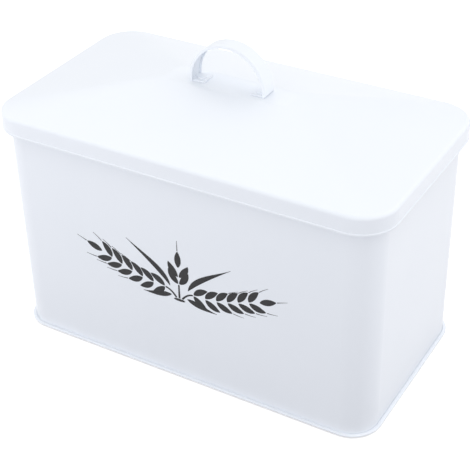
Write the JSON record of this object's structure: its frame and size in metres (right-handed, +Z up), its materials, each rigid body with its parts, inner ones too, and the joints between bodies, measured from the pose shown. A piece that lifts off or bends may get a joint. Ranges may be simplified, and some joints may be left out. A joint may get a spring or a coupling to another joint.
{
  "type": "bread box",
  "caption": "Rectangular sheet-steel bread box with rounded corners, a beaded foot and a hipped lift-off lid with an arched strap handle.",
  "frame": {"origin": "on the table, under the middle of the box", "axes": "+Z up, +X along the length to the right as seen from the front, -Y out of the front"},
  "size_m": [0.3296, 0.181, 0.2544],
  "materials": {
    "coated_steel": "white gloss powder coat on sheet steel",
    "pad_rubber": "soft matt silicone rubber",
    "black_print": "black satin print on the front"
  },
  "bodies": {
    "bin": {"wall_wrap": "coated_steel", "base_pan": "coated_steel", "foot_pad_front_left": "pad_rubber", "foot_pad_front_right": "pad_rubber", "foot_pad_rear_left": "pad_rubber", "foot_pad_rear_right": "pad_rubber"},
    "lid": {"lid_shell": "coated_steel", "handle_strap": "coated_steel", "handle_rivet_left": "coated_steel", "handle_rivet_right": "coated_steel", "rivet_washer_left": "coated_steel", "rivet_washer_right": "coated_steel"}
  },
  "joints": [
    {"name": "lid_lift", "type": "slide", "parent": "bin", "child": "lid", "axis": [0, 0, 1], "range_m": [0, 0.12]}
  ]
}
